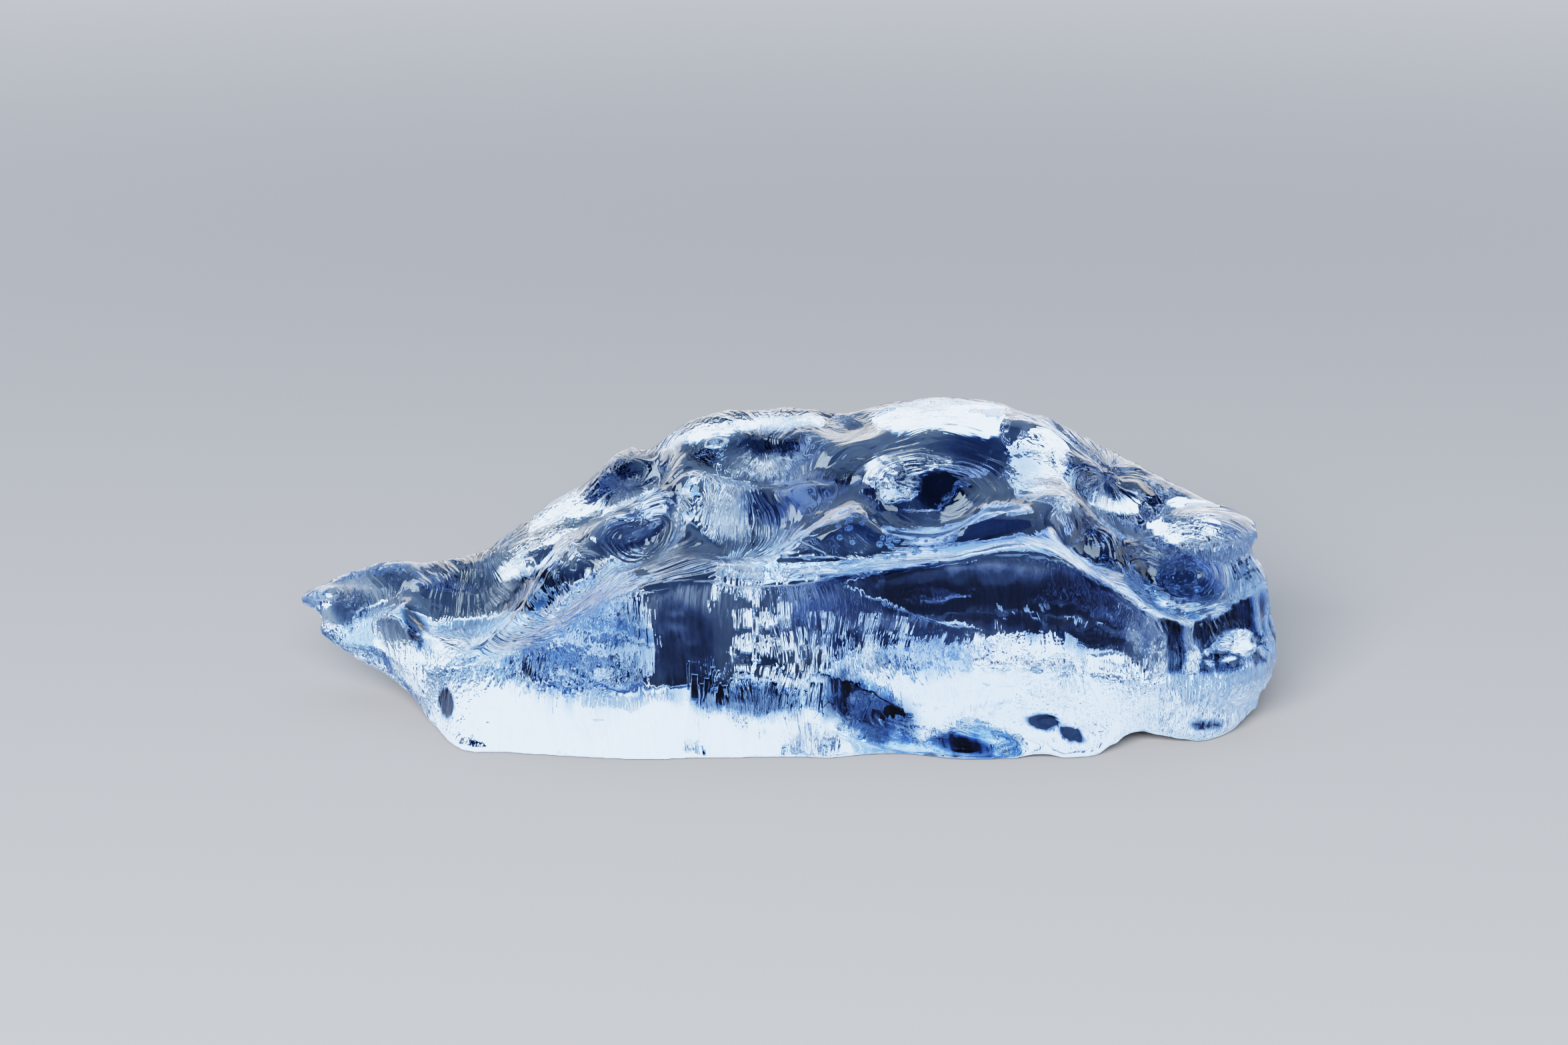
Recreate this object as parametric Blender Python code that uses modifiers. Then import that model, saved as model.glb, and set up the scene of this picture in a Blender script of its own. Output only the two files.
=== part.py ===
"""Ice block: one clear, melted chunk of ice, lying on a flat base.

A steep front wall ends in a wavy ledge. Behind the ledge the top climbs, scooped by melt hollows, to a
crest, and the back falls away in larger scoops. The left end runs out in a raised beak with a small open
mouth, and the right end bulges. +X is to the right, +Y to the back and +Z up.
"""

import bmesh
import bpy
import numpy as np
from mathutils import Matrix, Vector
from mathutils.geometry import interpolate_bezier

MM = 0.001

# Driving lines, in millimetres. Each is a few (station along X, value) points on a smooth curve.
CREST_HEIGHT = ((-88, 20), (-84, 22), (-74, 24.5), (-67, 24), (-58, 25.5), (-46, 33.5), (-38, 40),
                (-31, 45), (-25, 44.8), (-19, 49), (-4, 51), (12, 51.3), (32, 53.5), (45, 51.5), (60, 44),
                (76, 36.5), (86, 33))
CREST_DEPTH = ((-88, 0), (-70, 5), (-45, 10), (0, 16), (40, 14), (70, 9), (86, 4))
LEDGE_HEIGHT = ((-88, 17), (-74, 19), (-60, 15), (-44, 20), (-35, 26), (-20, 32), (0, 31.5), (14, 34),
                (30, 36.5), (44, 37), (57, 30), (65, 24.5), (76, 25), (86, 26))
LEDGE_DEPTH = ((-88, -6), (-74, -12), (-60, -25), (-44, -34), (-20, -38), (30, -39), (57, -37),
               (70, -32), (86, -18))
FOOT_DEPTH = ((-88, -4), (-80, -8), (-70, -12), (-65, -20), (-60, -33), (-50, -38), (0, -39.5),
              (38, -40.5), (54, -39), (64, -33), (76, -29), (86, -16))
FOOT_HEIGHT = ((-88, 13), (-80, 9), (-72, 5), (-66, 0), (-60, -2), (36, -2), (44, 0.8), (53, -1), (60, 3),
               (70, 0.6), (78, -1), (86, 3))
SHOULDER_HEIGHT = ((-88, 17), (-60, 20), (-40, 26), (-20, 34), (0, 38), (20, 38), (45, 34), (70, 25),
                   (86, 20))
SHOULDER_DEPTH = ((-88, 5), (-75, 9), (-60, 14), (-40, 19), (-20, 23), (0, 32), (15, 41), (40, 41),
                  (70, 28), (86, 14))
BELLY_HEIGHT = ((-88, 15), (-74, 12), (-60, 7), (-20, 6), (10, 9), (45, 11), (70, 10), (86, 9))
BELLY_DEPTH = ((-88, 4), (-70, 12), (-55, 16), (-20, 18), (0, 29), (15, 42), (45, 45), (70, 34), (86, 17))
HEEL_DEPTH = ((-88, 2), (-70, 8), (-55, 11), (-20, 12), (0, 21), (15, 33), (45, 36), (70, 26), (86, 12))
HEEL_HEIGHT = ((-88, 13), (-74, 8), (-62, 1), (-52, -2), (58, -2), (74, 0), (86, 5))

# How far each span of the section runs straight on from its start and into its end before it bends, as
# shares of the span's depth and height.
WALL_LEAN = ((0.0, 0.35), (0.2, 0.3))
TOP_LEAN = ((0.25, 0.15), (0.35, 0.1))
BACK_SLOPE_LEAN = ((0.45, 0.1), (0.15, 0.45))
BACK_WALL_LEAN = ((0.0, 0.35), (0.1, 0.3))
STRAIGHT = ((0.33, 0.33), (0.33, 0.33))

FIRST_STATION = -87.0
LAST_STATION = 86.0
STATIONS = 150
POINTS_PER_SPAN = 20

# Melt hollows, each placed by its station along X and its place round the section: 0 to 1 climbs the
# front wall from foot to ledge, 1 to 2 goes on to the crest, 2 to 3 to the back shoulder, 3 to 4 down to
# the belly, 4 to 5 in under it to the heel, and 5 to 6 forward along the underside. Then half length
# along X, half width and depth, all in millimetres, and turn in degrees. The underside hangs below the
# base until it is cut off, so its arches are that much deeper than what is left of them.
HOLLOWS = {
    "groove_under_crest": (-4, 1.66, 14, 7, 4.0, -6),
    "fan": (-9, 1.36, 14, 11, 4.8, 18),
    "eye": (25, 1.42, 12, 11, 6.2, 10),
    "eye_flank": (37, 1.55, 14, 15, 3.6, 0),
    "shelf": (24, 1.14, 25, 6, 2.2, 4),
    "oval": (59, 1.62, 12, 8, 3.8, -25),
    "right_bowl": (55, 1.28, 10, 10, 4.6, -15),
    "basin": (71, 1.28, 15, 13, 5.0, -15),
    "end_patch": (75, 1.68, 10, 8, 2.0, -15),
    "left_hollow": (-32, 1.7, 12, 8, 3.8, 30),
    "middle_left": (-27, 1.42, 12, 10, 4.2, 20),
    "left_band": (-40, 1.3, 14, 8, 3.0, 25),
    "left_slope": (-57, 1.5, 13, 11, 3.4, 15),
    "beak_cup": (-77, 1.45, 9, 8, 3.0, 10),
    "crest_dip": (12, 1.88, 8, 9, 2.2, 0),
    "spur_left": (7, 1.48, 8, 12, 1.5, 0),
    "crest_right": (50, 2.2, 12, 9, 1.6, 0),
    "gap_pane": (-18, 0.5, 7, 14, 2.2, 12),
    "dark_pane": (27, 0.68, 24, 13, 3.0, 0),
    "right_pane": (57, 0.6, 9, 11, 2.2, 0),
    "low_arch": (19, 0.16, 15, 6, 3.0, -28),
    "window_foot": (-40, 0.2, 14, 9, 1.4, 0),
    "end_pane": (70, 0.55, 8, 10, 2.0, 0),
    "back_high": (4, 2.6, 15, 12, 4.0, -20),
    "back_high_right": (34, 2.55, 18, 13, 4.5, -10),
    "back_high_left": (-30, 2.6, 17, 9, 3.0, 15),
    "back_end": (64, 2.6, 15, 12, 3.5, -15),
    "back_tail": (-60, 3.0, 13, 8, 2.2, 10),
    "back_wall": (24, 3.5, 17, 12, 3.5, 8),
    "back_wall_middle": (-6, 3.5, 11, 14, 3.5, 0),
    "back_wall_left": (-36, 3.55, 15, 10, 2.6, -8),
    "back_wall_right": (56, 3.5, 13, 11, 3.0, 0),
    "base_arch": (16.5, 5.63, 30, 12, 15.5, 66),
    "base_arch_right": (33, 5.86, 12, 11, 9.5, -20),
}

# Rounded swellings, placed and sized in the same way, with their rise for the depth.
SWELLINGS = {
    "window": (-36, 0.62, 15, 13, 2.0, 0),
    "waterfall": (-4, 0.55, 7, 14, 1.6, 0),
    "foot_right": (40, 0.3, 16, 8, 1.8, 10),
    "saddle": (10, 1.3, 7, 12, 1.6, 0),
    "facet": (47, 1.45, 6, 17, 1.8, 28),
    "jaw": (-68, 0.5, 9, 6, 1.5, 0),
    "back_knee": (-19, 3.3, 7, 13, 1.6, 0),
    "back_hip": (41, 3.2, 7, 13, 2.0, 0),
}

# Masses and cuts at the two ends, where there is no section to follow: centre and radii.
END_MASSES = {
    "upper_lip": ((-82.5, -1.5, 18.6), (8.4, 5.6, 2.8)),
    "end_bulge": ((74.0, -7.0, 11.5), (15.2, 24.0, 11.5)),
    "end_corner": ((75.5, 0.0, 30.2), (12.0, 13.0, 6.2)),
    "end_ridge": ((72.0, -5.0, 17.0), (15.8, 17.0, 14.0)),
}
END_CUTS = {
    "mouth": ((-90.5, -4.0, 16.0), (5.0, 13.0, 1.7)),
    "end_nick": ((91.4, -6.0, 29.4), (7.0, 18.0, 3.2)),
    "end_scoop_high": ((99.0, 9.0, 20.0), (17.5, 13.0, 11.0)),
    "end_scoop_low": ((100.0, 8.0, 3.0), (17.0, 14.0, 8.0)),
    "end_scoop_front": ((99.0, -15.5, 16.0), (15.5, 7.5, 9.0)),
    "end_scoop_back": ((92.0, 27.0, 12.0), (13.0, 14.0, 13.0)),
}

# A hollow or swelling fades out on skin that turns away from it: this is where, as a cosine.
TURNED_AWAY = 0.15
FADE_WIDTH = 0.4

VOXEL = 1.15
SOFTENING_PASSES = 3
SHARE_OF_FACETS = 0.14
BASE_SLAB = (260.0, 160.0, 30.0)

ICE_COLOUR = (0.62, 0.74, 0.93, 1.0)
ICE_ROUGHNESS = 0.06
ICE_IOR = 1.31


def rail(points, x):
    """Return the value at x of a smooth curve through a few (x, value) points."""
    stations, values = np.array(points, dtype=float).T
    slopes = np.gradient(values, stations)
    x = min(max(x, stations[0]), stations[-1])
    i = min(int(np.searchsorted(stations, x, side="right")) - 1, len(stations) - 2)
    gap = stations[i + 1] - stations[i]
    t = (x - stations[i]) / gap
    start = (1 + 2 * t) * (1 - t) ** 2 * values[i] + t * (1 - t) ** 2 * gap * slopes[i]
    end = t * t * (3 - 2 * t) * values[i + 1] + t * t * (t - 1) * gap * slopes[i + 1]
    return float(start + end)


def span(start, end, lean):
    """Return a bent run of points from start towards end, without the end point itself."""
    start, end = Vector(start), Vector(end)
    step = end - start
    first = start + step * Vector(lean[0])
    second = end - step * Vector(lean[1])
    return interpolate_bezier(start, first, second, end, POINTS_PER_SPAN + 1)[:-1]


def section(x):
    """Return the closed cross-section at x as (depth, height) points: wall, top, back and underside."""
    foot = (rail(FOOT_DEPTH, x), rail(FOOT_HEIGHT, x))
    ledge = (rail(LEDGE_DEPTH, x), rail(LEDGE_HEIGHT, x))
    crest = (rail(CREST_DEPTH, x), rail(CREST_HEIGHT, x))
    shoulder = (rail(SHOULDER_DEPTH, x), rail(SHOULDER_HEIGHT, x))
    belly = (rail(BELLY_DEPTH, x), rail(BELLY_HEIGHT, x))
    heel = (rail(HEEL_DEPTH, x), rail(HEEL_HEIGHT, x))
    points = span(foot, ledge, WALL_LEAN)
    points += span(ledge, crest, TOP_LEAN)
    points += span(crest, shoulder, BACK_SLOPE_LEAN)
    points += span(shoulder, belly, BACK_WALL_LEAN)
    points += span(belly, heel, STRAIGHT)
    points += span(heel, foot, STRAIGHT)
    return points


def unit(vectors):
    """Return the vectors, each at length one."""
    return vectors / np.linalg.norm(vectors, axis=-1, keepdims=True)


def mark_height(skin, out, shape):
    """Return, over the whole skin, how far inside a mark each point is: 1 at its middle, 0 outside it."""
    x, place, half_length, half_width, _, turn = shape
    row = round((x - FIRST_STATION) / (LAST_STATION - FIRST_STATION) * (STATIONS - 1))
    spot = round(place * POINTS_PER_SPAN)
    normal = out[row, spot]
    side = unit(np.cross(normal, (1.0, 0.0, 0.0)))
    along = np.cross(side, normal)
    angle = np.radians(turn)
    offset = skin - skin[row, spot]
    u = offset @ (np.cos(angle) * along + np.sin(angle) * side) / half_length
    v = offset @ (np.cos(angle) * side - np.sin(angle) * along) / half_width
    facing = np.clip((out @ normal - TURNED_AWAY) / FADE_WIDTH, 0.0, 1.0)
    return np.clip(1.0 - u * u - v * v, 0.0, 1.0) * facing


def carved_skin():
    """Return the lofted skin as (station, place, coordinate), with its swellings and melt hollows."""
    stations = np.linspace(FIRST_STATION, LAST_STATION, STATIONS)
    skin = np.array([[(x, p.x, p.y) for p in section(x)] for x in stations])
    lengthwise = np.gradient(skin, axis=0)
    upwards = np.roll(skin, -1, axis=1) - np.roll(skin, 1, axis=1)
    out = unit(np.cross(lengthwise, upwards))
    rise = np.zeros(skin.shape[:2])
    sink = np.zeros(skin.shape[:2])
    for shape in SWELLINGS.values():
        rise = np.maximum(rise, shape[4] * mark_height(skin, out, shape) ** 2)
    for shape in HOLLOWS.values():
        sink = np.maximum(sink, shape[4] * mark_height(skin, out, shape))
    return skin + out * (rise - sink)[..., np.newaxis]


def new_collection(name):
    """Return a new collection, linked to the scene."""
    collection = bpy.data.collections.new(name)
    bpy.context.scene.collection.children.link(collection)
    return collection


def make_guide(name, guides):
    """Name the fresh primitive, and keep it with the guides, outside the ice itself."""
    guide = bpy.context.object
    guide.name = name
    for owner in list(guide.users_collection):
        owner.objects.unlink(guide)
    guides.objects.link(guide)
    guide.hide_render = True
    guide.display_type = "WIRE"
    return guide


def ball(name, centre, radii, guides):
    """Add a ball stretched to its radii."""
    bpy.ops.mesh.primitive_uv_sphere_add(segments=40, ring_count=24, radius=1.0)
    guide = make_guide(name, guides)
    guide.data.transform(Matrix.Diagonal((*(radius * MM for radius in radii), 1.0)))
    guide.location = Vector(centre) * MM
    return guide


def boolean(body, operation, guide):
    """Add one exact Boolean to the body."""
    modifier = body.modifiers.new(guide.name, "BOOLEAN")
    modifier.operation = operation
    modifier.solver = "EXACT"
    modifier.object = guide


def loft_body(collection):
    """Join the carved cross-sections into one closed body."""
    mesh = bmesh.new()
    rings = [[mesh.verts.new(Vector(point) * MM) for point in ring] for ring in carved_skin()]
    for near, far in zip(rings, rings[1:]):
        for i in range(len(near)):
            mesh.faces.new((near[i - 1], far[i - 1], far[i], near[i]))
    mesh.faces.new(rings[0])
    mesh.faces.new(reversed(rings[-1]))
    bmesh.ops.recalc_face_normals(mesh, faces=mesh.faces)
    data = bpy.data.meshes.new("ice_block")
    mesh.to_mesh(data)
    mesh.free()
    body = bpy.data.objects.new("ice_block", data)
    collection.objects.link(body)
    return body


def shape_ends(body, guides):
    """Add the masses at the two ends, then cut the notches."""
    for name, (centre, radii) in END_MASSES.items():
        boolean(body, "UNION", ball(name, centre, radii, guides))
    for name, (centre, radii) in END_CUTS.items():
        boolean(body, "DIFFERENCE", ball(name, centre, radii, guides))


def melt(body):
    """Round every edge as melting does, then keep only the facets that the shape needs."""
    skin = body.modifiers.new("melted_skin", "REMESH")
    skin.mode = "VOXEL"
    skin.voxel_size = VOXEL * MM
    soften = body.modifiers.new("softened", "SMOOTH")
    soften.factor = 0.5
    soften.iterations = SOFTENING_PASSES
    facets = body.modifiers.new("facets", "DECIMATE")
    facets.ratio = SHARE_OF_FACETS


def cut_base(body, guides):
    """Cut the base off flat at height zero."""
    bpy.ops.mesh.primitive_cube_add(size=1.0)
    slab = make_guide("base_slab", guides)
    slab.data.transform(Matrix.Diagonal((*(size * MM for size in BASE_SLAB), 1.0)))
    slab.location.z = -0.5 * BASE_SLAB[2] * MM
    boolean(body, "DIFFERENCE", slab)


def centre_on_base(body):
    """Move the body and its guides so that the middle of its box stands over the origin."""
    bpy.context.view_layer.update()
    shaped = body.evaluated_get(bpy.context.evaluated_depsgraph_get())
    corners = np.array([tuple(corner) for corner in shaped.bound_box])
    middle = 0.5 * (corners.min(axis=0) + corners.max(axis=0))
    shift = Vector((-middle[0], -middle[1], 0.0))
    body.location += shift
    for guide in {modifier.object for modifier in body.modifiers if modifier.type == "BOOLEAN"}:
        guide.location += shift


def ice_material():
    """Return clear, slightly blue ice."""
    material = bpy.data.materials.new("ice")
    material.use_nodes = True
    shader = material.node_tree.nodes["Principled BSDF"]
    shader.inputs["Base Color"].default_value = ICE_COLOUR
    shader.inputs["Roughness"].default_value = ICE_ROUGHNESS
    shader.inputs["Metallic"].default_value = 0.0
    shader.inputs["IOR"].default_value = ICE_IOR
    shader.inputs["Transmission Weight"].default_value = 1.0
    return material


def main():
    """Build the ice."""
    for leftover in list(bpy.data.objects):
        bpy.data.objects.remove(leftover, do_unlink=True)
    ice = new_collection("ice_block")
    guides = new_collection("guides")
    body = loft_body(ice)
    body.data.materials.append(ice_material())
    shape_ends(body, guides)
    melt(body)
    cut_base(body, guides)
    centre_on_base(body)


main()
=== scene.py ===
"""Looks of the clear ice block: its wet skin, ribs, ripples, pits and cracks, and a plain studio."""
import math

import bmesh
import bpy
import numpy as np
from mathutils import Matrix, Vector


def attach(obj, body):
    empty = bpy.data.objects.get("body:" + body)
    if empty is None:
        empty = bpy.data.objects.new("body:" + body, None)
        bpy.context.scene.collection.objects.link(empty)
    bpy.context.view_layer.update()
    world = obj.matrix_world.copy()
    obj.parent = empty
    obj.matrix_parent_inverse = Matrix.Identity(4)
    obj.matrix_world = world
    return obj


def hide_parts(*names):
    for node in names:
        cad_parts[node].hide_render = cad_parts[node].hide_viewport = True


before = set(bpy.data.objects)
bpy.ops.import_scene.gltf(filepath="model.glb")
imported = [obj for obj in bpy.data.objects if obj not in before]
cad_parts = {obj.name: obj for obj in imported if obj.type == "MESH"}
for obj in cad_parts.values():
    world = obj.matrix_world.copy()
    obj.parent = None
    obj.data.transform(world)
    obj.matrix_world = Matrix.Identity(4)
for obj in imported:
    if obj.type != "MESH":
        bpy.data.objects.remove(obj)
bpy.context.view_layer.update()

MM = 0.001
NODE = "ice_block"

# Skin: how near each other the solid's loose points are welded, the spacing of the skin's mesh, how often
# and how far its facets are melted away, and the number of triangles that is kept.
WELD_DISTANCE = 0.001 * MM
SKIN_SPACING = 0.46 * MM
MELT_PASSES = 18
MELT_FACTOR = 0.5
SKIN_TRIANGLES = 138000

# Sizes that aren't times MM are in millimetres, apart from those of the studio, which are in metres. A
# period is how far random grain goes before it changes, and a pair for ramp() is where something starts and
# where it is full.

# How many values random grain is mixed from.
GRAIN_VALUES = 256

# Relief stays off the flat base: the heights between which it starts.
BASE_RELIEF = (0.4, 2.2)

# Uneven swell: the period of each layer, its height on the front, and what it gains on the back, which is
# found by how far the skin faces backwards.
BACK_FACING = (-0.1, 0.5)
BROAD_SWELL = (13, 0.35, 0.35)
SMALL_SWELL = (5.5, 0.22, 0.18)
DIMPLES = (2.7, 0.14)

# Grain round the hollows: how far and over what period its lines wander, how distance counts along each
# axis, how far its middle leans back, the ribs per radian, how much shorter the grain counts along itself,
# where it is calm (at the borders between hollows and in their middles), and the step between two grains.
WANDER = 1.5
WANDER_PERIOD = 7
HOLLOW_SHAPE = (0.8, 1.0, 1.2)
HOLLOW_LEAN = 0.5
RIBS_PER_RADIAN = 9.0
GRAIN_ALONG = 0.12
HOLLOW_BORDER = (0.3, 2.0)
HOLLOW_MIDDLE = (1.0, 3.5)
GRAIN_STEP = 7.0

# Grain on the walls: how upright a wall is and how softly it starts, how its lines bend, and its strength,
# with what it gains towards the right end.
WALL_TILT = 0.62
WALL_FADE = 0.2
WALL_BEND = 1.4
WALL_BEND_PERIOD = 9
WALL_ALONG = 0.08
WALL_STRENGTH = 0.55
RIGHT_END = (60, 70)
RIGHT_END_GAIN = 0.9

# All grain: how softly it starts on both sides of the edge between wall and top, how patchy it is and over
# what period, how calm the windows are, and the most it may be.
EDGE_FADE = 0.5
PATCHY_BASE = 0.72
PATCHY_SHARE = 0.28
PATCHY_PERIOD = 10
WINDOW_CALM = 0.85
MOST_STRENGTH = 1.6

# The coarser part of the grain, as period and height.
RIDGES = (3.0, 0.36)
FURROWS = (1.7, 0.28)

# Bold ribs of the rounded right end: where they start along X, how upright the skin is there, where they
# start and stop in height, the middle that they fan out from, the degrees from one to the next, how they
# bend, and how high they stand.
END_START = (60, 66)
END_TILT = 0.75
END_TILT_FADE = 0.3
END_FOOT = (11, 15)
END_TOP = 29.0
END_TOP_FADE = 4.0
END_MIDDLE = (62.0, -5.0)
END_RIB_DEGREES = 7.0
END_BEND = 0.5
END_BEND_PERIOD = (6, 6, 4)
END_ALONG = 0.05
END_RIB_HEIGHT = 0.8

# Painted shade in the furrows between them: how dark it is painted, where on the end, and how deep a furrow
# has to be.
FURROW_SHADE = 0.97
FURROW_REACH = (0.3, 0.7)
FURROW_LEVEL = 0.45
FURROW_EDGE = 0.25

# How soft the rim of a patch is, and of a named zone, as a share of its half size.
PATCH_RIM = 0.6
ZONE_RIM = 0.45

# Rough edges of the places of painted shade and of the milky places: the period and share of blots and of
# streaks along the grain.
TINT_BLOTS = (4, 0.12)
TINT_STREAKS = (1.6, 0.22)

# One seed for each layer of random grain.
SEEDS = {
    "broad_swell": 3,
    "small_swell": 4,
    "dimples": 5,
    "bubbles": 5,
    "wall_bend": 11,
    "ridges": 12,
    "furrows": 13,
    "patchy": 14,
    "end_bend": 17,
    "end_ribs": 18,
    "pebbles": 21,
    "wander": (31, 32, 33),
    "tint_blots": 61,
    "tint_streaks": 62,
    "thin_streaks": 77,
    "wide_streaks": 78,
    "strands": 79,
}
FIRST_CRACK_SEED = 40
CRACK_SEED_STEP = 5

# Ice: clear and wet, with a pale blue tint of its own that goes over into painted shade, down to deep blue,
# where shade is painted on its skin, and a faint rime where it is milky. The tint and the painted shade are
# broken up by streaks along the grain.
TINT_AND_PAINTED_SHADE = {
    0.0: (0.58, 0.75, 1.0, 1.0),
    0.35: (0.16, 0.265, 0.58, 1.0),
    0.7: (0.024, 0.048, 0.12, 1.0),
    1.0: (0.0005, 0.001, 0.0026, 1.0),
}
ICE_IOR = 1.31
RIME_ROUGHNESS = 0.12
TINT_COMB = 0.4

# Fine patterns of the material, as noise scale and detail, and how high its bumps stand.
FINE_RIBS = (0.9, 2.0)
FINE_RIB_HEIGHT = 1.4 * MM
SPECKLES = (1100.0, 1.0)
SPECKLE_HEIGHT = 0.5 * MM
TINT_NOISE = (1.3, 3.0)

# What the depth of the ice takes out of the light.
DEPTH_COLOUR = (0.18, 0.30, 0.60, 1.0)
DEPTH_DENSITY = 7.0

# A plain floor a hair below the base, which glows with painted light that rises between these distances, to
# meet the room. The room is pale to look at and dim as a light.
FLOOR_COLOUR = (0.72, 0.74, 0.78, 1.0)
FLOOR_SIZE = 9.0
FLOOR_DROP = 0.2 * MM
FAR_FLOOR_GLOW = (0.2, 2.2)
ROOM_PALE = (0.62, 0.65, 0.70, 1.0)
ROOM_DIM = (0.02, 0.035, 0.07, 1.0)

# Softboxes, in metres: where each hangs, where it points, its size, how bright its face looks, its colour,
# and whether it lights the floor. Those that don't are shown by the ice alone.
BLOCK_MIDDLE = (0, 0, 0.03)
SOFTBOXES = {
    "key_softbox": ((-0.30, -2.0, 0.88), BLOCK_MIDDLE, (1.6, 0.7), 27.0, (0.97, 0.98, 1.0), True),
    "top_softbox": ((0.0, 0.6, 2.2), (0, 0.3, 0), (3.0, 3.0), 0.4, (0.78, 0.89, 1.0), True),
    "back_softbox": ((0.0, 2.2, 0.75), (0, 0, 0.05), (3.6, 1.3), 4.0, (0.90, 0.95, 1.0), False),
    "high_softbox": ((0.0, 1.5, 1.9), BLOCK_MIDDLE, (3.2, 1.4), 2.0, (0.50, 0.70, 1.0), False),
    "left_softbox": ((-2.0, 0.5, 0.7), BLOCK_MIDDLE, (1.6, 1.2), 3.0, (0.72, 0.86, 1.0), False),
    "right_softbox": ((2.0, 0.5, 0.7), BLOCK_MIDDLE, (1.6, 1.2), 3.0, (0.72, 0.86, 1.0), False),
    "rake_softbox": ((-1.1, 0.7, 1.6), BLOCK_MIDDLE, (0.8, 0.8), 16.0, (0.62, 0.80, 1.0), False),
    "glint_softbox": ((1.3, 0.2, 1.5), BLOCK_MIDDLE, (0.6, 0.8), 14.0, (0.62, 0.80, 1.0), False),
}

# How often light may turn inside the ice, and how bright the picture is.
MOST_BOUNCES = 24
MOST_TRANSMISSIONS = 20
MOST_REFLECTIONS = 12
EXPOSURE = -0.1

# A long lens, a little above the ice and straight in front of it.
CAMERA_LENS = 85.0
CAMERA_SENSOR = 36.0
CAMERA_ELEVATION = math.radians(14.0)
CAMERA_DISTANCE = 0.6832
CAMERA_AIM = Vector((-0.0003, -0.0022, 0.033))

# The melt hollows on top: the middle of each, whether its grain runs in ribs down its sides or in rings
# round it, and how strongly.
HOLLOWS = {
    "groove_under_crest": ((-3, -1, 48), "ribs", 0.8),
    "fan": ((-9, -17, 42), "ribs", 1.0),
    "eye": ((27, -18, 44), "rings", 0.4),
    "oval": ((59, -6, 41), "ribs", 0.9),
    "bowl": ((56, -26, 35), "rings", 0.5),
    "basin": ((70, -22, 29), "rings", 0.6),
    "left_hollow": ((-30, 1, 42), "ribs", 1.0),
    "middle_left": ((-27, -19, 35), "rings", 0.9),
    "band": ((-40, -23, 29), "rings", 0.9),
    "slope": ((-56, -10, 24), "ribs", 1.0),
    "beak_cup": ((-78, -11, 19), "ribs", 0.9),
}

# Calm windows, where the skin has hardly any grain: centre, half sizes, turn in degrees, strength.
WINDOWS = {
    "arch": ((13, -42, 7), (11, 9, 8), 20, 1.0),
    "dark_window": ((-15, -41, 18), (8, 9, 11), 0, 1.0),
    "pane": ((35, -40, 29), (32, 9, 6), -4, 1.0),
    "right_pane": ((54, -40, 22), (7, 8, 4), -10, 1.0),
    "small_arch": ((32, -43, 3), (7, 8, 4), -10, 1.0),
    "left_foot": ((-42, -38, 5), (26, 14, 8), 0, 1.0),
    "middle_foot": ((-8, -43, 4), (14, 9, 6), 0, 1.0),
    "right_foot": ((44, -43, 6), (18, 9, 7), 0, 0.8),
    "shelf": ((32, -28, 38), (30, 12, 5), -4, 0.8),
    "saddle": ((8, -22, 39), (12, 12, 5), -10, 0.6),
}

# Sharp tips, where less is melted away: centre, half sizes, turn in degrees, strength.
TIPS = {
    "beak_tip": ((-87, -4, 17), (9, 14, 9), 0, 0.85),
    "nose": ((86, -8, 34), (8, 14, 7), 0, 0.7),
}
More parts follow.
